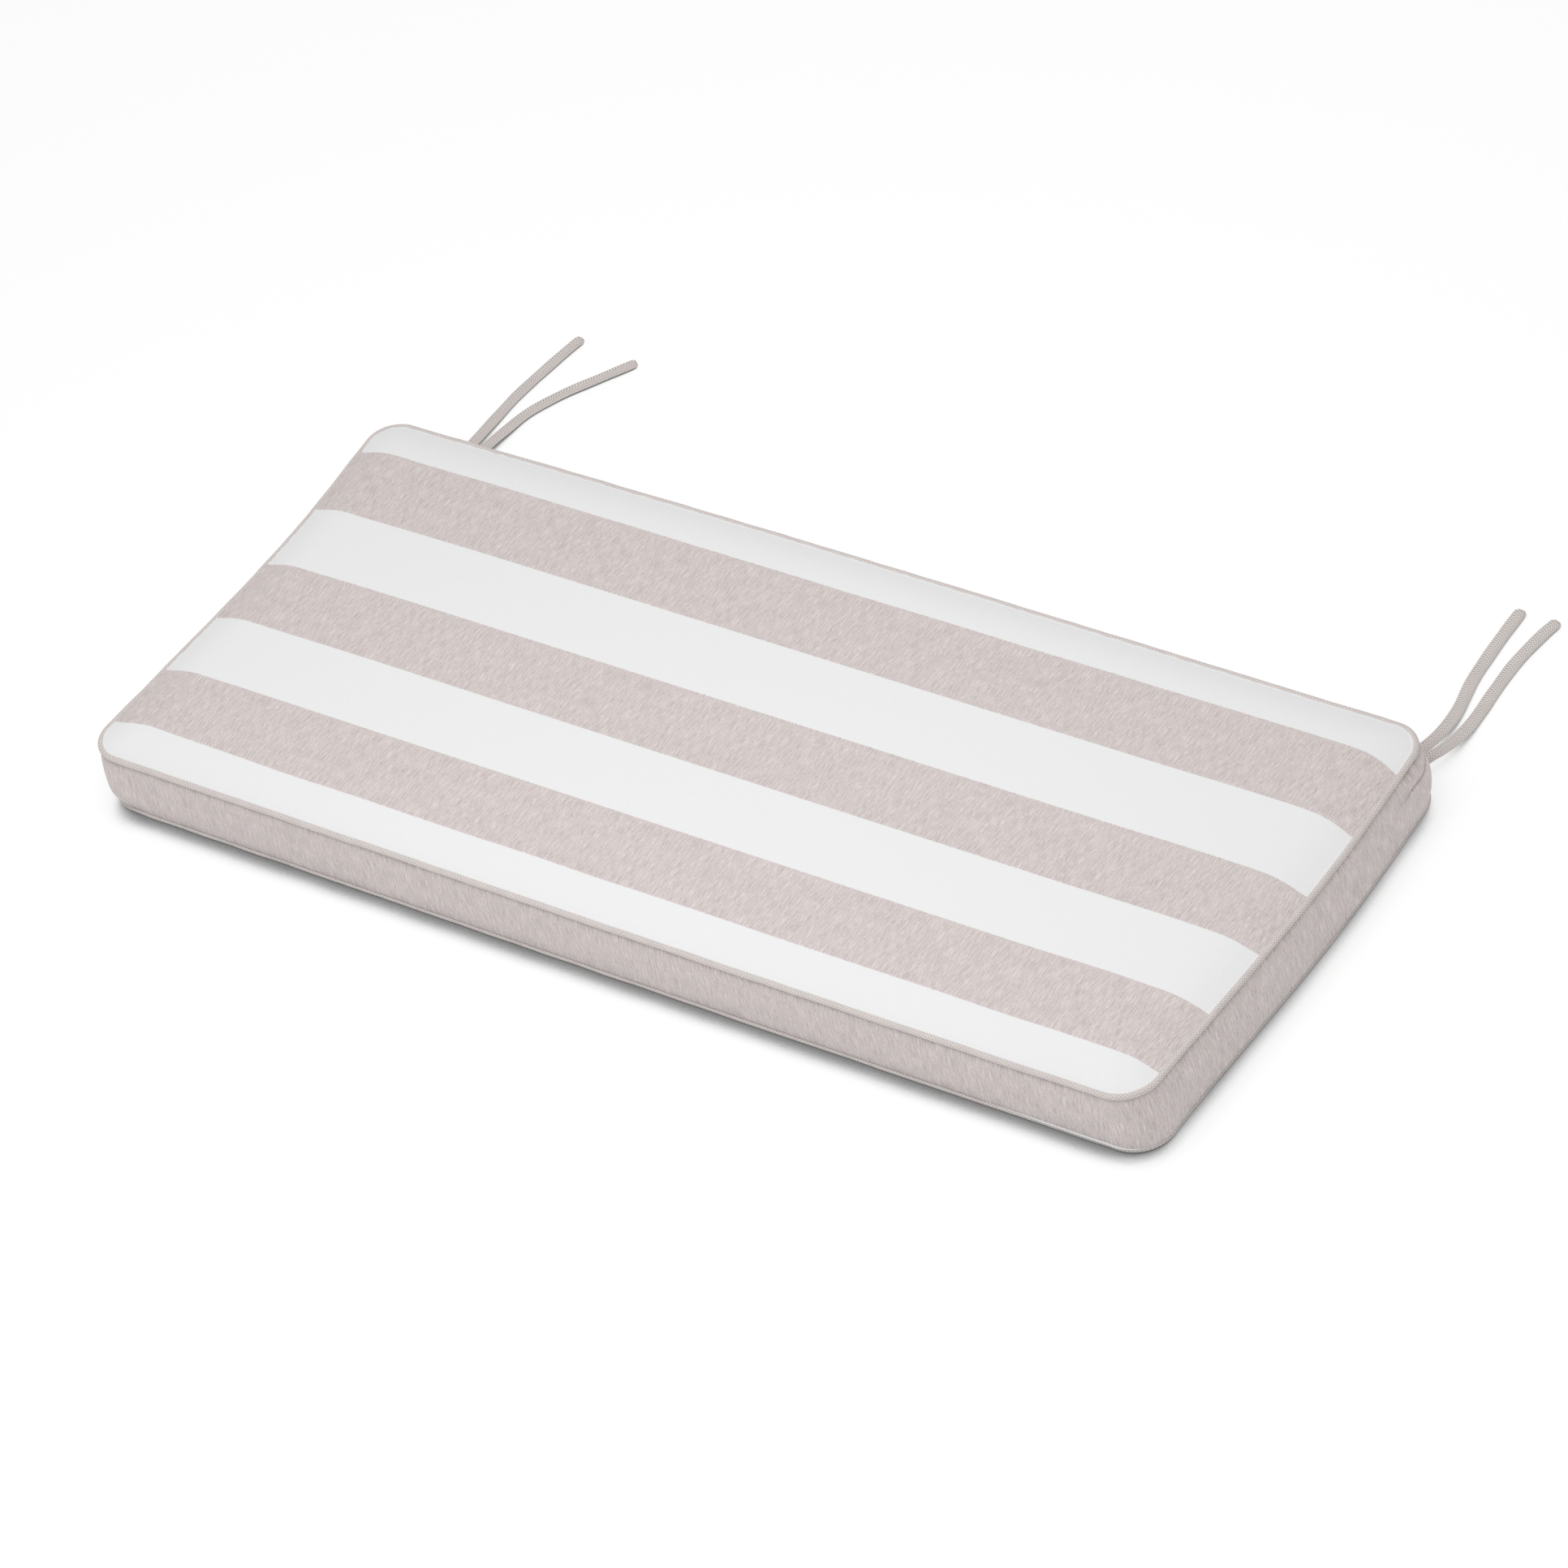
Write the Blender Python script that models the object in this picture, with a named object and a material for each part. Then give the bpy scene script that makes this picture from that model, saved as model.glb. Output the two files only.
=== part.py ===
"""A bench cushion lying on its back: a boxed and piped pad with two pairs of flat ties at its rear edge.

Everything is in metres. X runs along the bench, +Y points to the rear edge with the ties, and Z is up.
The origin is under the middle of the cushion, on the surface that it lies on.
"""

import math

import bpy
import numpy as np
from mathutils import Vector

# Driving sizes
LENGTH = 1.2  # over the piping
DEPTH = 0.5
SIDE_HEIGHT = 0.071  # from the surface to the top of the upper piping
CROWN = 0.0125  # how far the top stands above its own seam
DOME = 0.002  # the slow rise of the top's middle beyond that
CLOTH = 0.0015
PIPING_DIAMETER = 0.0066
GAP = 0.0003  # between pieces that touch on the real cushion

# Sizes that follow from them
PIPING_RADIUS = PIPING_DIAMETER / 2
SEAT_RADIUS = PIPING_RADIUS + GAP
LOWER_SEAM = PIPING_RADIUS
UPPER_SEAM = SIDE_HEIGHT - PIPING_RADIUS
HALF_LENGTH = LENGTH / 2 - PIPING_RADIUS
HALF_DEPTH = DEPTH / 2 - PIPING_RADIUS

# How the stuffing rounds the cover
BORDER_BULGE = 0.0012
CROWN_REACH = 0.07  # the top rounds down to its seam over this distance
CROWN_POWER = 3
DOME_REACH = 0.2
TOP_EDGE = 0.0037  # the top cloth starts this far in from its seam's middle
CROWN_INSETS = (TOP_EDGE, 0.008, 0.014, 0.022, 0.033, 0.048, 0.073, 0.12, DOME_REACH)

# The corners where the seam's sides would meet, as uneven as the sewing left them
CORNERS = (
    # name, x, y, radius
    ("left_front", -HALF_LENGTH, -HALF_DEPTH, 0.032),
    ("right_front", HALF_LENGTH, -HALF_DEPTH, 0.037),
    ("right_rear", HALF_LENGTH + 0.0013, HALF_DEPTH + 0.0021, 0.034),
    ("left_rear", -HALF_LENGTH - 0.0014, HALF_DEPTH - 0.0021, 0.030),
)

# Each side starts at the corner of the same row. The bow is outwards, and the sway is an S-bend
SIDES = (
    # name, bow, sway, steps
    ("front", 0.0012, -0.0002, 16),
    ("right", 0.0073, -0.0011, 10),
    ("rear", 0.0030, -0.0005, 16),
    ("left", -0.0097, -0.0016, 10),
)
ARC_STEPS = 8
BOW_REACH = HALF_DEPTH  # a side's bow has faded out this far in

# The flap over the rear opening hangs from the upper seam and turns both rear corners
FLAP_FOLD = 0.045  # the height of its folded lower edge
FLAP_THICKNESS = 0.0018
FLAP_PAST_CORNER = 1  # steps of the outline

# The ties are straps of folded cloth, caught in the lower rear seam just above its piping
TIE_WIDTH = 0.0125
TIE_THICKNESS = 0.0018
TIE_STEPS = 24
TIE_CHAMFER = 0.003
TIE_END_SHARE = 0.6  # of the width, left between the chamfers of a free end
TIE_SIDE_SHARE = 0.88  # of the width, between the rounded edges
TIES = (
    # rows of x, y, height of the middle, tilt in degrees with the right edge down
    (
        "tie_left_outer",
        (
            (-0.5530, 0.2451, 0.0078, 0),
            (-0.5530, 0.2530, 0.0078, 0),
            (-0.5530, 0.2700, 0.0062, 0),
            (-0.5532, 0.3026, 0.0040, 0),
            (-0.5545, 0.3350, 0.0022, 0),
            (-0.5550, 0.3683, 0.0013, 0),
            (-0.5536, 0.3902, 0.0013, 0),
            (-0.5480, 0.4345, 0.0013, 0),
            (-0.5432, 0.4648, 0.0013, 0),
            (-0.5405, 0.4730, 0.0013, 0),
        ),
    ),
    (
        "tie_left_inner",
        (
            (-0.5375, 0.2453, 0.0078, 0),
            (-0.5375, 0.2530, 0.0078, 0),
            (-0.5370, 0.2700, 0.0066, 0),
            (-0.5360, 0.3047, 0.0045, 0),
            (-0.5338, 0.3310, 0.0024, 0),
            (-0.5278, 0.3630, 0.0013, 0),
            (-0.5101, 0.3988, 0.0013, 0),
            (-0.4889, 0.4300, 0.0013, 0),
            (-0.4706, 0.4565, 0.0013, 0),
            (-0.4660, 0.4630, 0.0013, 0),
        ),
    ),
    (
        "tie_right_inner",
        (
            (0.5530, 0.2489, 0.0078, 0),
            (0.5530, 0.2549, 0.0082, 2),
            (0.5570, 0.2690, 0.0092, 8),
            (0.5605, 0.2815, 0.0090, 12),
            (0.5631, 0.2940, 0.0085, 12),
            (0.5635, 0.3097, 0.0065, 12),
            (0.5621, 0.3260, 0.0040, 10),
            (0.5593, 0.3452, 0.0026, 9),
            (0.5523, 0.3783, 0.0021, 8),
            (0.5494, 0.4110, 0.0021, 8),
            (0.5477, 0.4462, 0.0021, 8),
            (0.5473, 0.4765, 0.0021, 8),
        ),
    ),
    (
        "tie_right_outer",
        (
            (0.5680, 0.2487, 0.0078, 0),
            (0.5688, 0.2547, 0.0096, 3),
            (0.5735, 0.2625, 0.0135, 8),
            (0.5770, 0.2700, 0.0148, 12),
            (0.5800, 0.2800, 0.0132, 12),
            (0.5820, 0.2948, 0.0100, 12),
            (0.5821, 0.3147, 0.0055, 12),
            (0.5812, 0.3347, 0.0030, 10),
            (0.5801, 0.3534, 0.0024, 9),
            (0.5785, 0.3732, 0.0021, 8),
            (0.5775, 0.4136, 0.0021, 8),
            (0.5815, 0.4525, 0.0021, 8),
            (0.5862, 0.4758, 0.0021, 8),
        ),
    ),
)

BEIGE = (0.53, 0.48, 0.46, 1)
WHITE = (0.84, 0.84, 0.84, 1)
CREAM = (0.62, 0.57, 0.54, 1)
GREY_BEIGE = (0.48, 0.45, 0.43, 1)


def clear_scene():
    for thing in list(bpy.data.objects):
        bpy.data.objects.remove(thing, do_unlink=True)


def cloth_material(name, colour, roughness):
    material = bpy.data.materials.new(name)
    material.use_nodes = True
    shader = material.node_tree.nodes["Principled BSDF"]
    shader.inputs["Base Color"].default_value = colour
    shader.inputs["Roughness"].default_value = roughness
    shader.inputs["Metallic"].default_value = 0
    return material


def add_piece(name, data, material, parent):
    data.materials.append(material)
    piece = bpy.data.objects.new(name, data)
    piece.parent = parent
    bpy.context.scene.collection.objects.link(piece)
    return piece


def inset_corners(inset):
    """The seam's corners moved in by inset, each with its radius there."""
    corners = []
    for _, x, y, radius in CORNERS:
        point = Vector((x - inset * math.copysign(1, x), y - inset * math.copysign(1, y)))
        corners.append((point, radius * radius / (radius + inset)))
    return corners


def corner_arcs(corners):
    arcs = []
    for k, (corner, radius) in enumerate(corners):
        back = (corners[k - 1][0] - corner).normalized()
        ahead = (corners[(k + 1) % 4][0] - corner).normalized()
        half = back.angle(ahead) / 2
        centre = corner + (back + ahead).normalized() * radius / math.sin(half)
        start = corner + back * radius / math.tan(half) - centre
        arc = []
        for step in range(ARC_STEPS + 1):
            turn = (math.pi - 2 * half) * step / ARC_STEPS
            cos, sin = math.cos(turn), math.sin(turn)
            arc.append(centre + Vector((start.x * cos - start.y * sin, start.x * sin + start.y * cos)))
        arcs.append(arc)
    return arcs


def plan_loop(inset):
    """The seam's closed outline in plan, moved in by inset. Every outline has the same number of points."""
    arcs = corner_arcs(inset_corners(inset))
    fade = 1 - max(inset, 0) / BOW_REACH
    loop = []
    for k, (_, bow, sway, steps) in enumerate(SIDES):
        loop += arcs[k]
        first, last = arcs[k][-1], arcs[(k + 1) % 4][0]
        along = (last - first).normalized()
        outwards = Vector((along.y, -along.x))
        for step in range(1, steps):
            share = step / steps
            out = bow * math.sin(math.pi * share) + sway * math.sin(2 * math.pi * share)
            loop.append(first.lerp(last, share) + outwards * out * fade)
    return loop


def piping_seat(height, first_angle, last_angle, steps):
    """Points just clear of the piping. Angle 0 faces the middle of the cushion, and 90 faces up."""
    angles = np.radians(np.linspace(first_angle, last_angle, steps))
    return [(SEAT_RADIUS * math.cos(a), height + SEAT_RADIUS * math.sin(a)) for a in angles]


def border_inset(height):
    """How far in from the seam the border stands: it bulges out a little between its two seams."""
    share = (height - LOWER_SEAM) / (UPPER_SEAM - LOWER_SEAM)
    return -BORDER_BULGE * math.sin(math.pi * share)


def crown_height(inset):
    edge = max(0, 1 - (inset - SEAT_RADIUS) / CROWN_REACH)
    middle = 1 - (inset - SEAT_RADIUS) / (DOME_REACH - SEAT_RADIUS)
    return UPPER_SEAM + CROWN * (1 - edge**CROWN_POWER) + DOME * (1 - middle**2)


def crown_profile():
    """The top cloth's outer face, as (inset, height) from its edge to the flat middle."""
    return [(inset, crown_height(inset)) for inset in CROWN_INSETS]


def sunk(profile, distance):
    """A profile moved down along its own normals."""
    points = np.array(profile)
    run = np.gradient(points, axis=0)
    run /= np.linalg.norm(run, axis=1, keepdims=True)
    return [(x + distance * dz, z - distance * dx) for (x, z), (dx, dz) in zip(points, run)]


def stacked_solid(name, sections):
    """A closed mesh through a stack of equal rings of points, with a face at both ends."""
    count = len(sections[0])
    last = (len(sections) - 1) * count
    faces = [list(range(count))[::-1], list(range(last, last + count))]
    for start in range(0, last, count):
        for i in range(count):
            j = (i + 1) % count
            faces.append([start + i, start + j, start + count + j, start + count + i])
    mesh = bpy.data.meshes.new(name)
    mesh.from_pydata([point for section in sections for point in section], [], faces)
    mesh.update()
    mesh.shade_smooth()
    mesh.set_sharp_from_angle(angle=math.radians(50))
    return mesh


def turned_solid(name, profile):
    """A solid whose section across the seam is a profile of (inset, height), from its bottom to its top."""
    return stacked_solid(name, [[(p.x, p.y, z) for p in plan_loop(inset)] for inset, z in profile])


def make_cushion_body(parent):
    """The border and what fills it, as one solid: seats for the piping, soft sides and the crown."""
    underside = CLOTH + GAP
    first_angle = -math.degrees(math.asin((LOWER_SEAM - underside) / SEAT_RADIUS))
    profile = piping_seat(LOWER_SEAM, first_angle, 84, 5)
    profile += [(border_inset(z), z) for z in (0.014, 0.035, 0.056)]
    profile += piping_seat(UPPER_SEAM, -84, -24, 4)
    profile += sunk(crown_profile(), CLOTH + GAP)
    mesh = turned_solid("cushion_body", profile)
    add_piece("cushion_body", mesh, cloth_material("border_cloth", BEIGE, 0.9), parent)


def make_top_panel(parent):
    outer = crown_profile()
    mesh = turned_solid("top_panel", sunk(outer, CLOTH)[::-1] + outer)
    add_piece("top_panel", mesh, cloth_material("striped_cloth", WHITE, 0.85), parent)


def make_bottom_panel(parent):
    edge = math.sqrt(SEAT_RADIUS**2 - (LOWER_SEAM - CLOTH) ** 2)
    mesh = turned_solid("bottom_panel", [(edge, 0), (edge, CLOTH)])
    add_piece("bottom_panel", mesh, cloth_material("base_cloth", WHITE, 0.85), parent)


def make_piping(name, height, parent):
    curve = bpy.data.curves.new(name, "CURVE")
    curve.dimensions = "3D"
    curve.twist_mode = "Z_UP"
    curve.bevel_depth = PIPING_RADIUS
    curve.bevel_resolution = 2
    loop = plan_loop(0)
    spline = curve.splines.new("POLY")
    spline.points.add(len(loop) - 1)
    for target, point in zip(spline.points, loop):
        target.co = (point.x, point.y, 0, 1)
    spline.use_cyclic_u = True
    piece = add_piece(name, curve, cloth_material(name + "_cloth", CREAM, 0.85), parent)
    piece.location.z = height


def make_rear_flap(parent):
    """The folded strip over the rear opening, from just round one rear corner to just round the other."""
    right_corner = sum(ARC_STEPS + steps for _, _, _, steps in SIDES[:2])
    left_corner = right_corner + ARC_STEPS + SIDES[2][3]
    stations = range(right_corner - FLAP_PAST_CORNER, left_corner + ARC_STEPS + FLAP_PAST_CORNER + 1)
    heights = np.linspace(UPPER_SEAM - SEAT_RADIUS - GAP, FLAP_FOLD, 3)
    inner = [(border_inset(z) - GAP, z) for z in heights]
    outer = [(inset - FLAP_THICKNESS, z) for inset, z in inner]
    ring = [(plan_loop(inset), z) for inset, z in outer + inner[::-1]]
    mesh = stacked_solid("rear_flap", [[(loop[i].x, loop[i].y, z) for loop, z in ring] for i in stations])
    add_piece("rear_flap", mesh, cloth_material("flap_cloth", BEIGE, 0.9), parent)


def smooth_route(rows):
    """Rows on a smooth curve through the given ones, each with its direction, even but for a last short step."""
    fine = []
    ends = np.vstack([2 * rows[0] - rows[1], rows, 2 * rows[-1] - rows[-2]])
    for a, b, c, d in zip(ends, ends[1:], ends[2:], ends[3:]):
        for t in np.linspace(0, 1, 12, endpoint=False):
            bend = (2 * a - 5 * b + 4 * c - d) * t**2 + (3 * b - a - 3 * c + d) * t**3
            fine.append(b + 0.5 * ((c - a) * t + bend))
    fine = np.vstack([fine, rows[-1]])
    travel = np.concatenate([[0], np.cumsum(np.linalg.norm(np.diff(fine[:, :3], axis=0), axis=1))])
    fine = np.hstack([fine, np.gradient(fine[:, :3], axis=0)])
    stops = np.append(np.linspace(0, travel[-1] - TIE_CHAMFER, TIE_STEPS), travel[-1])
    return np.stack([np.interp(stops, travel, column) for column in fine.T], axis=1)


def make_tie(name, rows, parent):
    flat = TIE_SIDE_SHARE
    outline = ((-1, 0), (-flat, 1), (flat, 1), (1, 0), (flat, -1), (-flat, -1))
    sections = []
    for k, (x, y, z, tilt, *run) in enumerate(smooth_route(np.array(rows))):
        along = Vector(run).normalized()
        level = along.cross(Vector((0, 0, 1))).normalized()
        upright = level.cross(along)
        cos, sin = math.cos(math.radians(tilt)), math.sin(math.radians(tilt))
        across = (level * cos - upright * sin) * TIE_WIDTH / 2
        if k == TIE_STEPS:
            across *= TIE_END_SHARE
        up = (upright * cos + level * sin) * TIE_THICKNESS / 2
        sections.append([Vector((x, y, z)) + across * u + up * v for u, v in outline])
    add_piece(name, stacked_solid(name, sections), cloth_material(name + "_cloth", GREY_BEIGE, 0.9), parent)


def make_cushion():
    clear_scene()
    cushion = bpy.data.objects.new("bench_cushion", None)
    bpy.context.scene.collection.objects.link(cushion)
    make_cushion_body(cushion)
    make_top_panel(cushion)
    make_bottom_panel(cushion)
    make_piping("piping_top", UPPER_SEAM, cushion)
    make_piping("piping_bottom", LOWER_SEAM, cushion)
    make_rear_flap(cushion)
    for name, rows in TIES:
        make_tie(name, rows, cushion)


make_cushion()
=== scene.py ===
"""The look of a boxed and piped bench cushion, on the frame of its solids.

Metres. X runs along the bench and +Y to its rear. Left and right are as seen from the front.
"""

import math

import bpy
import numpy as np
from mathutils import Matrix, Vector


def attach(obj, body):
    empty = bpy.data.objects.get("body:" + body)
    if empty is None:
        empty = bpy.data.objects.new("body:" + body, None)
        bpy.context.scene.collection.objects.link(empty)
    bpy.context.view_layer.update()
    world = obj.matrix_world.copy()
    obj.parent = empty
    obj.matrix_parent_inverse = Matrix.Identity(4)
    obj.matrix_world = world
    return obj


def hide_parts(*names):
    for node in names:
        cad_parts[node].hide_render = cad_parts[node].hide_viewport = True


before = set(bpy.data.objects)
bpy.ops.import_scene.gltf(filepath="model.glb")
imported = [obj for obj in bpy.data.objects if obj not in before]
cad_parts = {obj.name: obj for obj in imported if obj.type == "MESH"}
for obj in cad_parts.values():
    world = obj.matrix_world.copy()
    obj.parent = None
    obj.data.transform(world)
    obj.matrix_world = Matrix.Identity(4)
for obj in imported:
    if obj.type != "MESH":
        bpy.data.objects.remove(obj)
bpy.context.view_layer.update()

# ---- Sizes, the same as the solids' ----
LENGTH = 1.2
DEPTH = 0.5
SIDE_HEIGHT = 0.071
CROWN = 0.0125
DOME = 0.002
CLOTH = 0.0015
PIPING_RADIUS = 0.0033
GAP = 0.0003
SEAT_RADIUS = PIPING_RADIUS + GAP
LOWER_SEAM = PIPING_RADIUS
UPPER_SEAM = SIDE_HEIGHT - PIPING_RADIUS
HALF_LENGTH = LENGTH / 2 - PIPING_RADIUS
HALF_DEPTH = DEPTH / 2 - PIPING_RADIUS
CROWN_REACH = 0.058
CROWN_POWER = 3
DOME_REACH = 0.2
BOW_REACH = HALF_DEPTH

CORNERS = (
    # x, y, radius
    (-HALF_LENGTH, -HALF_DEPTH, 0.032),
    (HALF_LENGTH, -HALF_DEPTH, 0.037),
    (HALF_LENGTH + 0.0013, HALF_DEPTH + 0.0021, 0.034),
    (-HALF_LENGTH - 0.0014, HALF_DEPTH - 0.0021, 0.030),
)
SIDES = (
    # name, bow, sway, steps
    ("front", 0.0012, -0.0002, 280),
    ("right", 0.0073, -0.0011, 106),
    ("rear", 0.0030, -0.0005, 280),
    ("left", -0.0097, -0.0016, 106),
)
ARC_STEPS = 14

# ---- The ties' routes, the same as the solids' ----
TIE_WIDTH = 0.0125
TIE_THICKNESS = 0.0018
TIES = (
    # rows of x, y, height of the middle, tilt in degrees with the right edge down
    (
        "tie_left_outer",
        (
            (-0.5530, 0.2451, 0.0078, 0),
            (-0.5530, 0.2530, 0.0078, 0),
            (-0.5530, 0.2700, 0.0062, 0),
            (-0.5532, 0.3026, 0.0040, 0),
            (-0.5545, 0.3350, 0.0022, 0),
            (-0.5550, 0.3683, 0.0013, 0),
            (-0.5536, 0.3902, 0.0013, 0),
            (-0.5480, 0.4345, 0.0013, 0),
            (-0.5432, 0.4648, 0.0013, 0),
            (-0.5405, 0.4730, 0.0013, 0),
        ),
    ),
    (
        "tie_left_inner",
        (
            (-0.5375, 0.2453, 0.0078, 0),
            (-0.5375, 0.2530, 0.0078, 0),
            (-0.5370, 0.2700, 0.0066, 0),
            (-0.5360, 0.3047, 0.0045, 0),
            (-0.5338, 0.3310, 0.0024, 0),
            (-0.5278, 0.3630, 0.0013, 0),
            (-0.5101, 0.3988, 0.0013, 0),
            (-0.4889, 0.4300, 0.0013, 0),
            (-0.4706, 0.4565, 0.0013, 0),
            (-0.4660, 0.4630, 0.0013, 0),
        ),
    ),
    (
        "tie_right_inner",
        (
            (0.5530, 0.2489, 0.0078, 0),
            (0.5530, 0.2549, 0.0082, 2),
            (0.5570, 0.2690, 0.0092, 8),
            (0.5605, 0.2815, 0.0090, 12),
            (0.5631, 0.2940, 0.0085, 12),
            (0.5635, 0.3097, 0.0065, 12),
            (0.5621, 0.3260, 0.0040, 10),
            (0.5593, 0.3452, 0.0026, 9),
            (0.5523, 0.3783, 0.0021, 8),
            (0.5494, 0.4110, 0.0021, 8),
            (0.5477, 0.4462, 0.0021, 8),
            (0.5473, 0.4765, 0.0021, 8),
        ),
    ),
    (
        "tie_right_outer",
        (
            (0.5680, 0.2487, 0.0078, 0),
            (0.5688, 0.2547, 0.0096, 3),
            (0.5735, 0.2625, 0.0135, 8),
            (0.5770, 0.2700, 0.0148, 12),
            (0.5800, 0.2800, 0.0132, 12),
            (0.5820, 0.2948, 0.0100, 12),
            (0.5821, 0.3147, 0.0055, 12),
            (0.5812, 0.3347, 0.0030, 10),
            (0.5801, 0.3534, 0.0024, 9),
            (0.5785, 0.3732, 0.0021, 8),
            (0.5775, 0.4136, 0.0021, 8),
            (0.5815, 0.4525, 0.0021, 8),
            (0.5862, 0.4758, 0.0021, 8),
        ),
    ),
)
TIE_STEP = 0.0025
TIE_SIDES = 20
TIE_FACE_POWER = 0.35  # the lower, the flatter the strap's faces
TIE_EDGE_POWER = 0.6
TIE_TIP = 0.0035  # over this length the free end is rounded
TIE_TIP_WIDTH = 0.55
TIE_ROOT = 0.07  # over this length the strap widens from its seam
TIE_ROOT_WIDTH = 0.86
TIE_WAVER = 0.02
TIE_WAVER_RATE = 140

# ---- The top cloth's stripes: where each edge runs, and how far the cloth is pulled at its ends ----
STRIPES = (
    # y at mid-length; shift, hook and drift at the left end; shift, hook and drift at the right end
    (0.1980, 0.0041, -0.0039, -0.0015, -0.0032, -0.0052, 0.0001),
    (0.1124, 0.0049, -0.0027, -0.0014, -0.0023, -0.0024, 0.0010),
    (0.0300, 0.0054, -0.0029, -0.0006, -0.0014, -0.0008, 0.0010),
    (-0.0505, 0.0060, -0.0031, -0.0004, 0.0028, -0.0022, 0.0012),
    (-0.1290, 0.0065, -0.0042, 0.0, 0.0023, -0.0026, 0.0014),
    (-0.2066, 0.0071, -0.0056, 0.0015, 0.0051, -0.0052, 0.0004),
)
STRIPE_SLANT = 0.0016  # in y for each metre along x
END_SHIFT_REACH = 0.08
END_PULLS = (
    # end's x; column of STRIPES; reach and power of the hook; middle and reach of the drift
    (-HALF_LENGTH + 0.004, 1, 0.050, 2, 0.06, 0.16),
    (HALF_LENGTH + 0.003, 4, 0.042, 1, 0.09, 0.12),
)

# ---- Camera and light ----
PHOTO_SIZE = 1932
SENSOR = 36
CAMERA_AZIMUTH = 45.8176
CAMERA_ELEVATION = 42.1735
CAMERA_ROLL = 16.6967
CAMERA_AIM = (0.0153, 0.0227, 0)
CAMERA_DISTANCE = 7.7118
CAMERA_CLIP = (0.1, 100)
FOCAL_PIXELS = 10261.4
ROOM_LIGHT = 0.62
SOFTBOX_PLACE = (0.1, -0.5, 1.9)
SOFTBOX_SIZE = 1.8
SOFTBOX_WATTS = 22


def make_camera():
    a, e, r = (math.radians(v) for v in (CAMERA_AZIMUTH, CAMERA_ELEVATION, CAMERA_ROLL))
    back = Vector((math.sin(a) * math.cos(e), -math.cos(a) * math.cos(e), math.sin(e)))
    right = Vector((math.cos(a), math.sin(a), 0))
    up = back.cross(right)
    across = right * math.cos(r) - up * math.sin(r)
    upright = right * math.sin(r) + up * math.cos(r)
    data = bpy.data.cameras.new("camera")
    data.sensor_width = SENSOR
    data.lens = FOCAL_PIXELS * SENSOR / PHOTO_SIZE
    data.clip_start, data.clip_end = CAMERA_CLIP
    camera = bpy.data.objects.new("camera", data)
    bpy.context.scene.collection.objects.link(camera)
    place = Matrix((across, upright, back)).transposed().to_4x4()
    place.translation = Vector(CAMERA_AIM) + back * CAMERA_DISTANCE
    camera.matrix_world = place
    bpy.context.scene.camera = camera


def make_lights():
    world = bpy.data.worlds.new("studio")
    bpy.context.scene.world = world
    world.use_nodes = True
    room = world.node_tree.nodes["Background"]
    room.inputs["Color"].default_value = (1, 1, 1, 1)
    room.inputs["Strength"].default_value = ROOM_LIGHT
    data = bpy.data.lights.new("softbox", "AREA")
    data.shape = "SQUARE"
    data.size = SOFTBOX_SIZE
    data.energy = SOFTBOX_WATTS
    softbox = bpy.data.objects.new("softbox", data)
    bpy.context.scene.collection.objects.link(softbox)
    softbox.location = SOFTBOX_PLACE
    softbox.rotation_mode = "QUATERNION"
    softbox.rotation_quaternion = Vector(SOFTBOX_PLACE).to_track_quat("Z", "Y")


# ---- Shader nodes ----
NOISE_GAIN = 4.0


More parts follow.
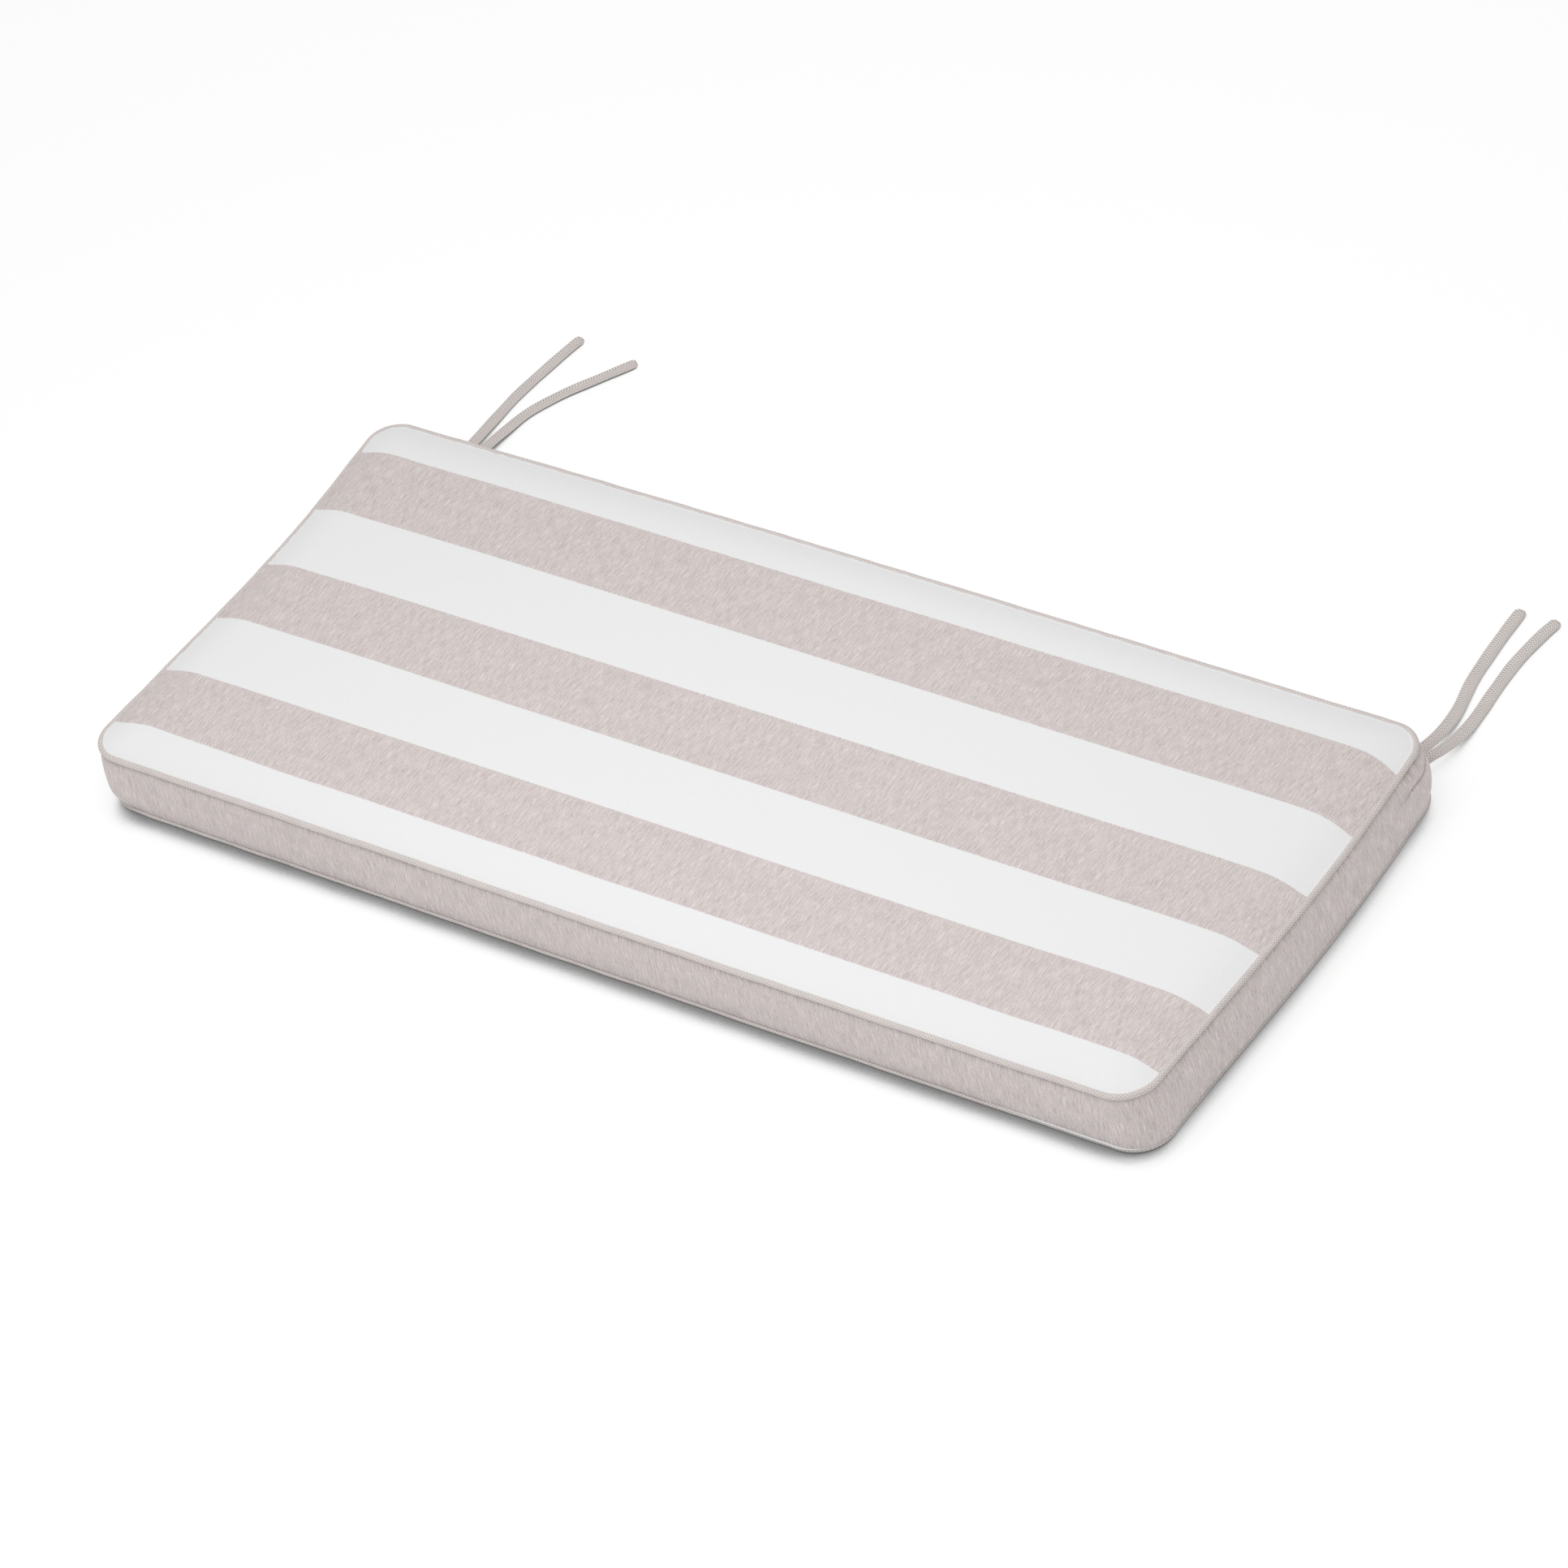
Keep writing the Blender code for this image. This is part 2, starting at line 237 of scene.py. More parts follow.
class Shader:
    """A Principled material and short ways to add nodes to it."""

    def __init__(self, name, roughness=0.9, specular=0.25, sheen=0.15):
        self.material = bpy.data.materials.new(name)
        self.material.use_nodes = True
        self.nodes = self.material.node_tree.nodes
        self.links = self.material.node_tree.links
        self.main = self.nodes["Principled BSDF"]
        self.main.inputs["Roughness"].default_value = roughness
        self.main.inputs["Specular IOR Level"].default_value = specular
        self.main.inputs["Sheen Weight"].default_value = sheen
        self.main.inputs["Sheen Roughness"].default_value = 0.5

    def feed(self, socket, value):
        if isinstance(value, bpy.types.NodeSocket):
            self.links.new(value, socket)
        else:
            socket.default_value = value

    def math(self, operation, first, second=0.0, third=0.0):
        node = self.nodes.new("ShaderNodeMath")
        node.operation = operation
        for socket, value in zip(node.inputs, (first, second, third)):
            self.feed(socket, value)
        return node.outputs[0]

    def clamp(self, value):
        node = self.nodes.new("ShaderNodeClamp")
        self.feed(node.inputs[0], value)
        return node.outputs[0]

    def sum_of(self, *terms):
        """Adds (value, weight) pairs."""
        total = 0.0
        for value, weight in terms:
            total = self.math("MULTIPLY_ADD", value, weight, total)
        return total

    def cloth_axes(self):
        """Metres across and along the yarns, from the piece's own cloth map."""
        uv = self.nodes.new("ShaderNodeUVMap")
        uv.uv_map = "cloth"
        split = self.nodes.new("ShaderNodeSeparateXYZ")
        self.links.new(uv.outputs[0], split.inputs[0])
        return split.outputs[0], split.outputs[1]

    def seam(self):
        """How near a seam the surface is, from the piece's own attribute, which sets the painted seam
        shade.
        """
        node = self.nodes.new("ShaderNodeAttribute")
        node.attribute_name = "seam"
        return node.outputs["Fac"]

    def noise(self, u, v, across, along, detail=1.0):
        """Noise mostly between -1 and 1, with grains of the given size across and along the yarns."""
        join = self.nodes.new("ShaderNodeCombineXYZ")
        self.feed(join.inputs[0], self.math("DIVIDE", u, across))
        self.feed(join.inputs[1], self.math("DIVIDE", v, along))
        node = self.nodes.new("ShaderNodeTexNoise")
        node.noise_dimensions = "2D"
        node.inputs["Scale"].default_value = 1.0
        node.inputs["Detail"].default_value = detail
        self.links.new(join.outputs[0], node.inputs["Vector"])
        return self.math("MULTIPLY_ADD", node.outputs[0], NOISE_GAIN, -NOISE_GAIN / 2)

    def wave(self, value, pitch):
        return self.math("SINE", self.math("MULTIPLY", value, 2 * math.pi / pitch))

    def checks(self, u, v, pitch_u, pitch_v):
        """A basket weave's light and dark squares, from -1 to 1."""
        return self.math("MULTIPLY", self.wave(u, pitch_u), self.wave(v, pitch_v))

    def mix(self, share, first, second):
        node = self.nodes.new("ShaderNodeMix")
        node.data_type = "RGBA"
        self.feed(node.inputs[0], share)
        self.feed(node.inputs[6], first)
        self.feed(node.inputs[7], second)
        return node.outputs[2]

    def tint(self, colour, amount):
        """The colour made lighter or darker by a share of itself."""
        node = self.nodes.new("ShaderNodeVectorMath")
        node.operation = "SCALE"
        self.feed(node.inputs[0], colour)
        self.feed(node.inputs["Scale"], self.math("ADD", amount, 1.0))
        return node.outputs[0]

    def shade(self, reach, lean, stops):
        """A painted shade level from how open the surroundings are within reach, looking along lean."""
        openness = self.nodes.new("ShaderNodeAmbientOcclusion")
        openness.inputs["Distance"].default_value = reach
        aim = self.nodes.new("ShaderNodeCombineXYZ")
        for socket, value in zip(aim.inputs, Vector(lean).normalized()):
            socket.default_value = value
        self.links.new(aim.outputs[0], openness.inputs["Normal"])
        node = self.nodes.new("ShaderNodeValToRGB")
        self.links.new(openness.outputs["AO"], node.inputs[0])
        ramp = node.color_ramp
        for place, _ in stops[1:-1]:
            ramp.elements.new(place)
        for element, (place, level) in zip(ramp.elements, stops):
            element.position = place
            element.color = (level, level, level, 1)
        return node.outputs[0]

    def bump(self, height, depth):
        node = self.nodes.new("ShaderNodeBump")
        node.inputs["Strength"].default_value = 1.0
        node.inputs["Distance"].default_value = depth
        self.feed(node.inputs["Height"], height)
        self.links.new(node.outputs[0], self.main.inputs["Normal"])

    def colour(self, value):
        self.feed(self.main.inputs["Base Color"], value)


# ---- Cloths and floor. Sizes are in metres, and strengths are shares of the colour. ----
BEIGE = (0.610, 0.558, 0.541, 1)
BEIGE_PINK = (0.632, 0.557, 0.548, 1)
WHITE = (0.795, 0.795, 0.797)
CREAM_LIGHT = (0.79, 0.738, 0.703, 1)
CREAM_DARK = (0.42, 0.372, 0.362, 1)
TIE_LIGHT = (0.79, 0.725, 0.69, 1)
TIE_DARK = (0.38, 0.352, 0.336, 1)
FLOOR_SHADOW_COLOUR = (0, 0, 0, 1)
FLOOR_WHITE = (1, 1, 1, 1)

YARN_SWAY = 0.0005
HAIR_SHIFT = 0.37  # takes the hairs from another stretch of the noise than the streaks
HAIR_LENGTH = 0.7  # of a streak's
HAIR_FLOOR = 0.35  # only the noise above this shows as hairs
CHAMBRAY_LEVEL = -0.006
BORDER_STREAK = 0.018
BORDER_STREAKS = 1.6
TOP_STREAK = 0.013
TOP_STREAKS = 1.4
# Painted shade along the seams: a share of the colour is taken off near each seam, beaded at the stitch
# pitch on the border.
STITCH_PITCH = 0.0034
STITCH_SHADE_CONTRAST = 0.15
BORDER_SEAM_SHADE = 0.46
TOP_SEAM_SHADE = 0.28
STRIPE_TOOTH = 0.0004  # how far single yarns step over a stripe's edge
STRIPE_BLUR = 0.0006
WHITE_RELIEF = 0.3  # of the beige stripes'
PLAIN_PITCH = 0.0012
PIPING_PITCH_ALONG = 0.0034
PIPING_PITCH_AROUND = 0.0031
PIPING_CONTRAST = 0.42
PIPING_SWAY = 0.0003
TIE_PITCH = 0.0029
TIE_CONTRAST = 0.65
TIE_MEAN = 0.52

FLOOR_HALF = 30
FLOOR_HEIGHT = -0.0002
FLOOR_PAPER = 0.25
FLOOR_GLOW = 0.77
# The floor's painted contact shadow: its level follows how open the floor is round each point.
FLOOR_SHADE_REACH = 0.03
FLOOR_SHADE_LEAN = (-0.9, 1.6, 1)  # towards the left rear, where the floor's light comes from
FLOOR_SHADE = (
    # openness, level
    (0.30, 0.12),
    (0.43, 0.28),
    (0.48, 0.37),
    (0.52, 0.54),
    (0.556, 0.72),
    (0.59, 0.83),
    (0.64, 0.91),
    (0.72, 0.96),
    (0.92, 0.99),
    (1.0, 1.0),
)


def chambray(shader, u, v, length, strength):
    """Heathered beige: streaks along the yarns, with pinker yarns among them. Returns colour and height."""
    bend = shader.noise(u, v, across=0.006, along=0.03, detail=0.0)
    u = shader.math("MULTIPLY_ADD", bend, YARN_SWAY, u)
    streak = shader.noise(u, v, across=0.0012, along=length)
    apart = shader.math("ADD", u, HAIR_SHIFT)
    hair = shader.noise(apart, v, across=0.0007, along=length * HAIR_LENGTH, detail=0.0)
    hair = shader.math("MAXIMUM", shader.math("SUBTRACT", hair, HAIR_FLOOR), 0.0)
    yarn = shader.noise(u, v, across=0.0010, along=0.004)
    mottle = shader.noise(u, v, across=0.014, along=0.03)
    pink = shader.math("MULTIPLY_ADD", shader.noise(u, v, across=0.004, along=0.012), 0.5, 0.5)
    base = shader.mix(pink, BEIGE, BEIGE_PINK)
    amount = shader.sum_of((streak, 0.090), (hair, 0.04), (yarn, 0.055), (mottle, 0.018))
    amount = shader.math("MULTIPLY_ADD", amount, strength, CHAMBRAY_LEVEL)
    return shader.tint(base, amount), shader.math("ADD", streak, yarn)


def make_border_cloth():
    shader = Shader("border_cloth")
    u, v = shader.cloth_axes()
    colour, height = chambray(shader, u, v, BORDER_STREAK, BORDER_STREAKS)
    # Painted shade along the seams, beaded at the stitch pitch.
    wave = shader.wave(u, STITCH_PITCH)
    beaded_shade = shader.math("MULTIPLY_ADD", wave, -STITCH_SHADE_CONTRAST, -BORDER_SEAM_SHADE)
    shader.colour(shader.tint(colour, shader.math("MULTIPLY", shader.seam(), beaded_shade)))
    shader.bump(height, depth=0.00005)
    return shader.material


def make_striped_cloth():
    shader = Shader("striped_cloth")
    u, v = shader.cloth_axes()
    beige, height = chambray(shader, u, v, TOP_STREAK, TOP_STREAKS)
    tooth = shader.noise(u, v, across=0.0008, along=0.004)
    edge = shader.math("MULTIPLY_ADD", tooth, STRIPE_TOOTH, v)
    inside = 0.0
    for number, (y, *_) in enumerate(reversed(STRIPES)):
        beyond = shader.math("MULTIPLY_ADD", shader.math("SUBTRACT", edge, y), 1 / STRIPE_BLUR, 0.5)
        inside = shader.math("MULTIPLY_ADD", shader.clamp(beyond), (-1.0) ** number, inside)
    slub = shader.noise(u, v, across=0.0009, along=0.02)
    white = shader.tint(WHITE, shader.math("MULTIPLY", slub, 0.006))
    colour = shader.mix(inside, white, beige)
    # Painted shade along the seam by the upper piping.
    shader.colour(shader.tint(colour, shader.math("MULTIPLY", shader.seam(), -TOP_SEAM_SHADE)))
    relief = shader.math("MULTIPLY_ADD", inside, 1 - WHITE_RELIEF, WHITE_RELIEF)
    shader.bump(shader.math("MULTIPLY", height, relief), depth=0.00010)
    return shader.material


def make_base_cloth():
    shader = Shader("base_cloth")
    u, v = shader.cloth_axes()
    weave = shader.checks(u, v, PLAIN_PITCH, PLAIN_PITCH)
    slub = shader.noise(u, v, across=0.001, along=0.015)
    shader.colour(shader.tint(WHITE, shader.sum_of((slub, 0.015), (weave, 0.01))))
    shader.bump(weave, depth=0.00006)
    return shader.material


def make_piping_cloth():
    """Basket weave of light and dark yarns, a little uneven along the cord."""
    shader = Shader("piping_cloth")
    u, v = shader.cloth_axes()
    shift = shader.noise(u, v, across=0.006, along=0.006, detail=0.0)
    along = shader.math("MULTIPLY_ADD", shift, PIPING_SWAY, u)
    weave = shader.checks(along, v, PIPING_PITCH_ALONG, PIPING_PITCH_AROUND)
    share = shader.math("MULTIPLY_ADD", weave, PIPING_CONTRAST, 0.5)
    grain = shader.noise(u, v, across=0.0012, along=0.0012)
    drift = shader.noise(u, v, across=0.02, along=0.05)
    colour = shader.mix(share, CREAM_DARK, CREAM_LIGHT)
    shader.colour(shader.tint(colour, shader.sum_of((grain, 0.05), (drift, 0.03))))
    shader.bump(weave, depth=0.00012)
    return shader.material


def make_tie_cloth():
    """Basket weave square to the strap, with a soft mottle."""
    shader = Shader("tie_cloth")
    u, v = shader.cloth_axes()
    weave = shader.checks(u, v, TIE_PITCH, TIE_PITCH)
    share = shader.math("MULTIPLY_ADD", weave, TIE_CONTRAST, TIE_MEAN)
    grain = shader.noise(u, v, across=0.001, along=0.001)
    drift = shader.noise(u, v, across=0.01, along=0.03)
    colour = shader.mix(share, TIE_DARK, TIE_LIGHT)
    shader.colour(shader.tint(colour, shader.sum_of((grain, 0.05), (drift, 0.03))))
    shader.bump(weave, depth=0.00010)
    return shader.material


def make_floor_paper():
    """White paper that glows a little, with a painted contact shadow near the cushion and the ties."""
    shader = Shader("floor_paper", roughness=0.8, specular=0, sheen=0)
    # Painted contact shadow, taken into both the paper's colour and its glow.
    level = shader.shade(FLOOR_SHADE_REACH, FLOOR_SHADE_LEAN, FLOOR_SHADE)
    colour = shader.mix(level, FLOOR_SHADOW_COLOUR, FLOOR_WHITE)
    shader.colour(shader.tint(colour, FLOOR_PAPER - 1))
    shader.feed(shader.main.inputs["Emission Color"], colour)
    shader.main.inputs["Emission Strength"].default_value = FLOOR_GLOW
    return shader.material


# ---- Outlines ----
def corner_arcs(inset):
    """The four corners' arcs of the outline moved in by inset, tighter the further in they are."""
    corners = []
    for x, y, radius in CORNERS:
        point = np.array((x - inset * math.copysign(1, x), y - inset * math.copysign(1, y)))
        corners.append((point, radius * radius / (radius + inset)))
    arcs = []
    for k, (corner, radius) in enumerate(corners):
        back = corners[k - 1][0] - corner
        ahead = corners[(k + 1) % 4][0] - corner
        back, ahead = back / np.linalg.norm(back), ahead / np.linalg.norm(ahead)
        half = math.acos(back @ ahead) / 2
        middle = back + ahead
        centre = corner + middle / np.linalg.norm(middle) * radius / math.sin(half)
        start = corner + back * radius / math.tan(half) - centre
        turns = np.linspace(0, math.pi - 2 * half, ARC_STEPS + 1)
        cos, sin = np.cos(turns), np.sin(turns)
        turned = np.stack([start[0] * cos - start[1] * sin, start[0] * sin + start[1] * cos], axis=1)
        arcs.append(centre + turned)
    return arcs


def plan_loop(inset):
    """The seam's closed outline in plan, moved in by inset. Every outline has the same number of points."""
    arcs = corner_arcs(inset)
    fade = 1 - max(inset, 0) / BOW_REACH
    loop = []
    for k, (_, bow, sway, steps) in enumerate(SIDES):
        loop.append(arcs[k])
        first, last = arcs[k][-1], arcs[(k + 1) % 4][0]
        along = (last - first) / np.linalg.norm(last - first)
        share = np.arange(1, steps)[:, None] / steps
        out = bow * np.sin(math.pi * share) + sway * np.sin(2 * math.pi * share)
        loop.append(first + (last - first) * share + np.array((along[1], -along[0])) * out * fade)
    return np.vstack(loop)


# One station for each point of the seam, starting at the left front corner and running to the right.
SEAM = plan_loop(0)
COUNT = len(SEAM)
STEP_LENGTHS = np.linalg.norm(np.roll(SEAM, -1, axis=0) - SEAM, axis=1)
TRAVEL = np.concatenate([[0], np.cumsum(STEP_LENGTHS)])
PERIMETER = TRAVEL[-1]
AHEAD = np.roll(SEAM, -1, axis=0) - np.roll(SEAM, 1, axis=0)
OUTWARDS = np.stack([AHEAD[:, 1], -AHEAD[:, 0]], axis=1) / np.linalg.norm(AHEAD, axis=1)[:, None]
SIDE_STARTS = np.cumsum([0] + [ARC_STEPS + steps for _, _, _, steps in SIDES])
LEFT_FRONT, RIGHT_FRONT, RIGHT_REAR = SIDE_STARTS[:3] + ARC_STEPS // 2  # the corners' middle stations


def at_height(outline, height):
    return np.column_stack([outline, np.zeros(COUNT) + height])


def moved_out(distance):
    """The seam's outline moved out, by one distance for each station."""
    return SEAM + OUTWARDS * distance[:, None]


def uneven(shortest, longest, seed, terms=12):
    """A gentle closed wave round the cushion, of about unit size, with wavelengths in the given range."""
    rng = np.random.default_rng(seed)
    counts = rng.integers(max(1, round(PERIMETER / longest)), round(PERIMETER / shortest) + 1, terms)
    phases = rng.uniform(0, 2 * math.pi, terms)
    total = sum(np.sin(2 * math.pi * n * TRAVEL[:-1] / PERIMETER + p) for n, p in zip(counts, phases))
    return total / math.sqrt(terms / 2)


def side_weight(values):
    """One value for each side, in the order of SIDES, blended round the corners."""
    weights = np.empty(COUNT)
    turn = np.linspace(0, 1, ARC_STEPS + 1)
    for k, start in enumerate(SIDE_STARTS[:-1]):
        weights[start : start + ARC_STEPS + 1] = values[k - 1] + (values[k] - values[k - 1]) * turn
        weights[start + ARC_STEPS : SIDE_STARTS[k + 1]] = values[k]
    return weights


def smooth_bump(distance, reach):
    """1 at no distance, falling softly to 0 at the reach."""
    share = np.clip(np.abs(distance) / reach, 0, 1)
    return (1 - share**2) ** 2


def along_from(station):
    """Signed distance round the seam from one station."""
    offset = TRAVEL[:-1] - TRAVEL[station]
    return (offset + PERIMETER / 2) % PERIMETER - PERIMETER / 2


# ---- Meshes ----
def stacked_mesh(name, levels, maps, closed=True, caps=(True, True), seams=None):
    """A mesh through equal rows of points, lowest first.

    maps gives each row's cloth map, with one more point than the row where the row is closed.
    seams gives how near each point of each row is to a seam, from 0 to 1, which sets its painted seam
    shade.
    """
    count = len(levels[0])
    points = np.vstack(levels)
    faces, corners = [], []
    for k, (low, high) in enumerate(zip(maps, maps[1:])):
        for i in range(count if closed else count - 1):
            j = (i + 1) % count
            faces.append((k * count + i, k * count + j, (k + 1) * count + j, (k + 1) * count + i))
            corners += [low[i], low[i + 1], high[i + 1], high[i]]
    last = (len(levels) - 1) * count
    if caps[0]:
        faces.append(tuple(range(count))[::-1])
        corners += [maps[0][i] for i in range(count)][::-1]
    if caps[1]:
        faces.append(tuple(range(last, last + count)))
        corners += [maps[-1][i] for i in range(count)]
    mesh = bpy.data.meshes.new(name)
    mesh.from_pydata(points.tolist(), [], faces)
    layer = mesh.uv_layers.new(name="cloth")
    layer.data.foreach_set("uv", np.asarray(corners, float).ravel())
    if seams is not None:
        near = mesh.attributes.new("seam", "FLOAT", "POINT")
        near.data.foreach_set("value", np.concatenate([np.zeros(count) + row for row in seams]))
    mesh.update()
    mesh.shade_smooth()
    return mesh


def add_piece(name, mesh, material, node):
    piece = bpy.data.objects.new(name, mesh)
    mesh.materials.append(material)
    bpy.context.scene.collection.objects.link(piece)
    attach(piece, "root")
    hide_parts(node)
    return piece


# ---- The border's face ----
BORDER_LOW = 0.0052
BORDER_HIGH = UPPER_SEAM - 0.0032
BORDER_OUT = 0.0004
BORDER_BULGE = (0.0020, 0.0028, 0.0018, 0.0020)  # front, right, rear and left
BORDER_FOOT = (0.0008, 0.0026, 0.0008, 0.0010)  # how far the border hangs over the lower piping
BORDER_FOOT_FADE = 0.009
UPPER_PUCKER_FADE = 0.008
LOWER_PUCKER_FADE = 0.007
LOWER_PUCKER_SHARE = 0.8

LEFT_REACH = 0.06  # along the seam, from the left front corner
LEFT_TUCK = 0.0018  # how far the lower edge is drawn in there
LEFT_TUCK_FADE = 0.008
LEFT_BULGE = 0.0042
LEFT_BULGE_HEIGHT = 0.021
LEFT_BULGE_BELOW = 0.016
LEFT_BULGE_ABOVE = 0.048
LEFT_BULGE_POWER = 1.3
FRONT_REACH = 0.048  # along the seam, from the right front corner
FRONT_FOOT = 0.0026  # how far the lower edge stands out there
FRONT_FOOT_FADE = 0.022
REAR_REACH = 0.08  # along the seam, from the right rear corner
REAR_BULGE = 0.0048
REAR_BULGE_HEIGHT = 0.035
REAR_BULGE_REACH = 0.030
REAR_BULGE_POWER = 1.2
REAR_DENT = 0.0017
REAR_DENT_HEIGHT = 0.0120
REAR_DENT_REACH = 0.0042
TROUGH = 0.0011  # along the front, under the upper piping
TROUGH_X = 0.566
TROUGH_LENGTH = 0.05
TROUGH_HEIGHT = 0.056
TROUGH_REACH = 0.011

FLAP_FOLD = 0.045
FLAP_START = SIDE_STARTS[2] - 9  # just before the right rear corner
FLAP_END = SIDE_STARTS[3] + ARC_STEPS + 11  # just past the left rear corner
FLAP_FADE = 0.02
FOLD_DIP = 0.003  # at the strip's start
FOLD_DIP_REACH = 0.03
FOLD_RISE = 0.011  # at the right rear corner
FOLD_RISE_REACH = 0.034
RECESS = 0.0014
RECESS_STEP = 0.0012
LEDGE = 0.0006
LEDGE_REACH = 0.009


def flap_share():
    """1 where the rear strip is, falling to 0 at its ends."""
    inside = np.minimum(along_from(FLAP_START), -along_from(FLAP_END))
    return np.sin(np.clip(inside / FLAP_FADE, 0, 1) * math.pi / 2) ** 2


LEFT_SHARE = smooth_bump(along_from(LEFT_FRONT), LEFT_REACH)
REAR_SHARE = smooth_bump(along_from(RIGHT_REAR), REAR_REACH)
FOOT_OUT = FRONT_FOOT * smooth_bump(along_from(RIGHT_FRONT + 3), FRONT_REACH)
FOOT_IN = LEFT_TUCK * LEFT_SHARE
FLAP_SHARE = flap_share()
FOLD = (
    FLAP_FOLD
    - FOLD_DIP * smooth_bump(along_from(FLAP_START), FOLD_DIP_REACH)
    + FOLD_RISE * smooth_bump(along_from(RIGHT_REAR + 2), FOLD_RISE_REACH)
    + uneven(0.06, 0.2, 21) * 0.0004
)
SLOW_SWELL = uneven(0.09, 0.4, 1) * 0.0004 + uneven(0.05, 0.16, 2) * 0.00025
PUCKERS = uneven(0.009, 0.026, 3, 24) * 0.00020


def outer_wall(height):
    """How far out the border's face stands from its seam at each station, at one height or one for each."""
    share = np.clip((height - BORDER_LOW) / (BORDER_HIGH - BORDER_LOW), 0, 1)
    over_foot = height - BORDER_LOW
    wall = BORDER_OUT + side_weight(BORDER_BULGE) * (1 - np.abs(2 * share - 1) ** 4)
    wall += side_weight(BORDER_FOOT) * np.exp(-over_foot / BORDER_FOOT_FADE)
    wall += FOOT_OUT * np.exp(-over_foot / FRONT_FOOT_FADE) - FOOT_IN * np.exp(-over_foot / LEFT_TUCK_FADE)
    left_reach = np.where(height < LEFT_BULGE_HEIGHT, LEFT_BULGE_BELOW, LEFT_BULGE_ABOVE)
    left = np.clip(1 - ((height - LEFT_BULGE_HEIGHT) / left_reach) ** 2, 0, 1) ** LEFT_BULGE_POWER
    rear = np.clip(1 - ((height - REAR_BULGE_HEIGHT) / REAR_BULGE_REACH) ** 2, 0, 1) ** REAR_BULGE_POWER
    wall += LEFT_BULGE * LEFT_SHARE * left
    wall += REAR_BULGE * REAR_SHARE * rear
    wall -= REAR_DENT * REAR_SHARE * smooth_bump(height - REAR_DENT_HEIGHT, REAR_DENT_REACH)
    wall += SLOW_SWELL * np.sin(math.pi * share)
    near_upper = np.exp(-(UPPER_SEAM - height) / UPPER_PUCKER_FADE)
    near_lower = np.exp(-(height - LOWER_SEAM) / LOWER_PUCKER_FADE)
    wall += PUCKERS * (near_upper + LOWER_PUCKER_SHARE * near_lower)
    front = SEAM[:, 1] < 0
    trough = smooth_bump(SEAM[:, 0] - TROUGH_X, TROUGH_LENGTH) * front
    return wall - TROUGH * trough * smooth_bump(height - TROUGH_HEIGHT, TROUGH_REACH)


def pad_wall(height):
    """The border's face on the pad, with a ledge under the rear strip and a recess behind it."""
    behind = np.clip((height - FOLD) / RECESS_STEP, 0, 1)
    ledge = LEDGE * smooth_bump(np.minimum(height - FOLD, 0), LEDGE_REACH)
    return outer_wall(height) + FLAP_SHARE * (ledge * (1 - behind) - RECESS * behind)


# ---- Pieces ----
UPPER_CORD = 0.0029  # radius of the visible upper piping
LOWER_CORD = 0.0023  # radius of the lower piping, pressed flat by the weight
LOWER_CORD_OUT = 0.0004
CORD_SIDES = 16
CORD_UNEVEN = 0.015
CORD_WANDER = 0.00015

PAD_FOOT = (
    # inset, height
    (0.02, CLOTH + GAP),
    (0.0034, CLOTH + GAP),
    (0.0026, 0.0040),
    (0.0008, 0.0050),
)
PAD_FOOT_OUT = 0.0009
PAD_FOOT_TOP = 0.0050
PAD_ROWS = 27
NEAR_FOLD = (-0.004, -0.0025, -0.0014, -0.0007, -0.0001, 0.0003, 0.0008, 0.0012, 0.002, 0.0035)
FOLD_CLEAR = 0.0045  # no other row of the pad comes nearer to the fold
FOLD_BEND = 0.018  # how far from the fold the rows follow it
PAD_UPPER_SHADE_REACH = 0.0018  # how far the painted shade under the upper seam reaches down the border
# How far the painted shade over the lower seam reaches up the border.
PAD_LOWER_SHADE_REACH = 0.0008
PAD_SHOULDER = 0.0003
PAD_SEAT = (
    # inset, height
    (0.0022, UPPER_SEAM - 0.0024),
    (0.0033, UPPER_SEAM - 0.0008),
)
PAD_CROWN_INSETS = (0.0055, 0.01, 0.02, 0.035, 0.06, 0.1, 0.2)
PAD_UNDER_TOP = 0.0024

TOP_EDGE = 0.0014
TOP_MIDDLE = 0.236
TOP_ROWS = 46
TOP_SPREAD = 2.4
TOP_UNDERSIDE_INSETS = (0.18, 0.1, 0.06, 0.035, 0.02, 0.011, 0.0045)
EDGE_LIFT = 0.0021  # how much higher the top cloth meets its piping than the seam
EDGE_LIFT_FADE = 0.007
EDGE_LIFT_POWER = 1.5
RIPPLE_FADE = 0.008
SWELL_INSET = 0.05
SWELL_REACH = 0.045
# How far in from its seam the top cloth gets painted shade.
TOP_SHADE_REACH = 0.0008

BASE_RIM = (
    # inset, height
    (0.006, 0.0),
    (0.0036, 0.0004),
    (0.0029, 0.0022),
    (0.0014, 0.0043),
)
BASE_LIP = (
    # distance out and height, and how much higher the cloth lies where the lip is hidden
    (0.0014, 0.0047, 0.0003),
    (0.0030, 0.0043, 0),
    (0.0032, 0.0047, 0.0003),
    (0.0014, 0.0052, 0.0003),
)
BASE_INNER = (
    # inset, height
    (0.0030, 0.0040),
    (0.0040, CLOTH),
    (0.02, CLOTH),
)
LIP_REACH = 0.15  # along the seam, from where the lip shows most
LIP_HIDDEN_OUT = -0.0010
LIP_HIDDEN_HEIGHT = 0.0043

